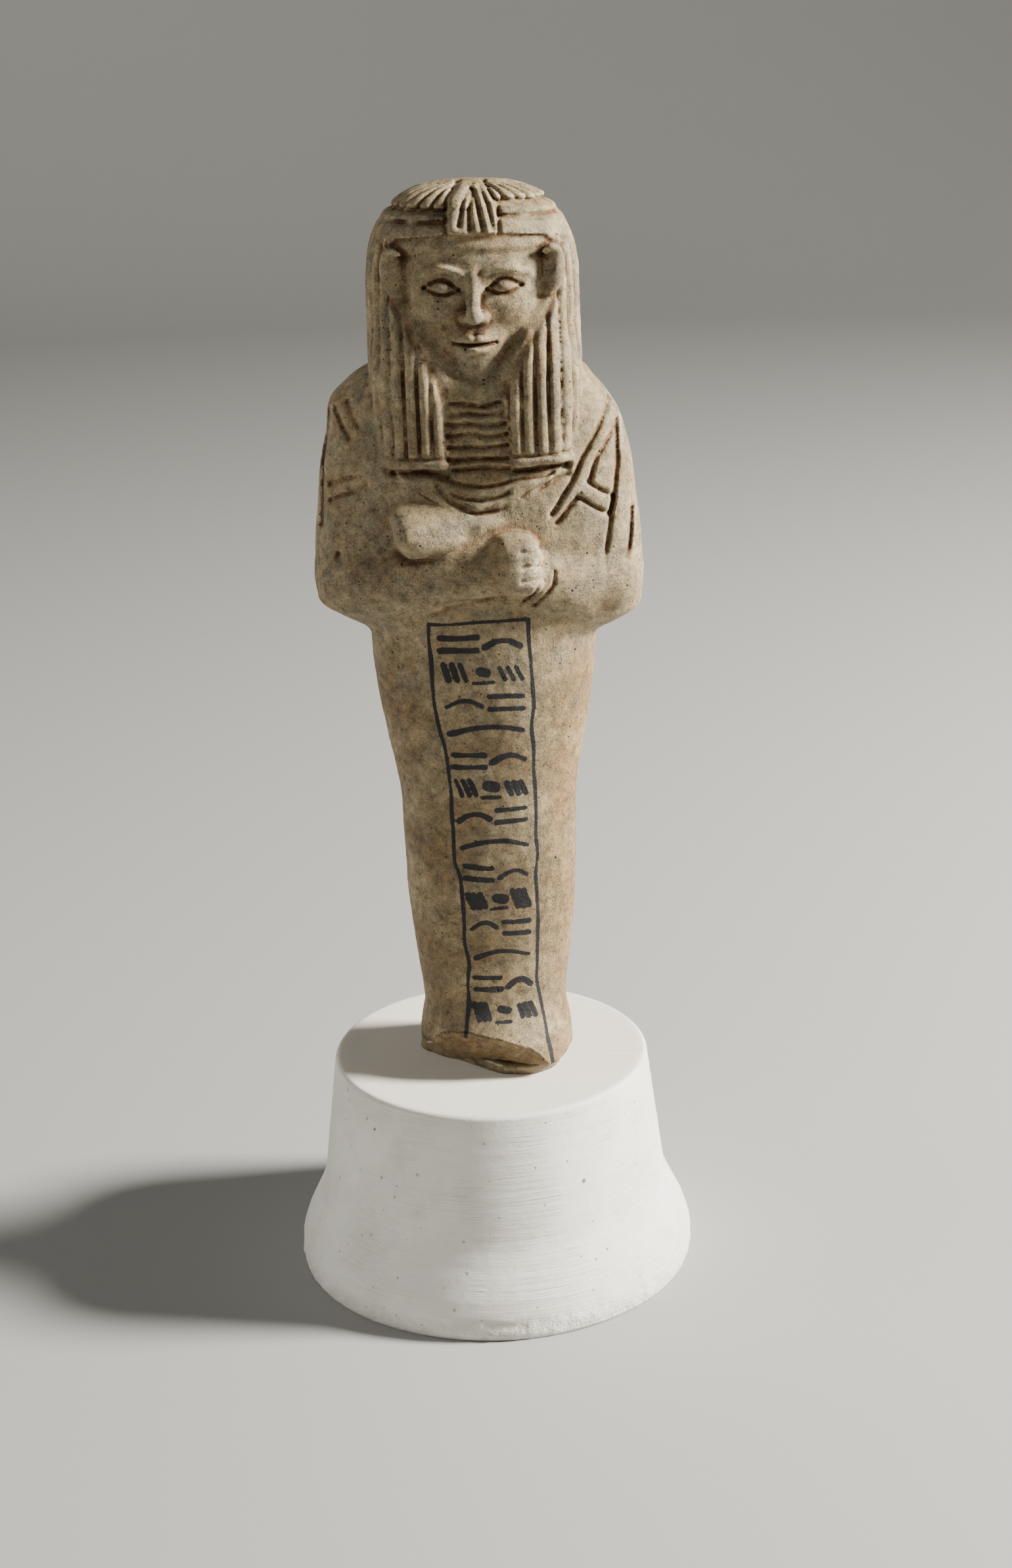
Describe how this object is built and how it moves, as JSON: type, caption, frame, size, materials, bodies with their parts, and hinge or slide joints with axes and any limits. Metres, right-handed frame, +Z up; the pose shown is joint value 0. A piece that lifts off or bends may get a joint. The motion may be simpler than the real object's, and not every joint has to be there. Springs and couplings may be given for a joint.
{
  "type": "ushabti figurine",
  "caption": "Mummiform funerary figurine with striated wig, crossed arms and hoes, toes broken off, glued to a turned plaster plinth with a flared foot",
  "frame": {"origin": "middle of the plinth's underside, on the surface it stands on", "axes": "+Z up along the figure, the figure faces -Y, +X is at its left hand side"},
  "size_m": [0.0572, 0.0572, 0.1532],
  "materials": {
    "faience": "worn buff faience body with brown stained grooves and dark ink marks",
    "plaster": "white turned plaster, fine turning lines, rough lower edge",
    "adhesive": "translucent yellow-brown glue"
  },
  "bodies": {
    "root": {"ushabti_figurine": "faience", "plaster_plinth": "plaster", "adhesive_pad": "adhesive"}
  },
  "joints": []
}
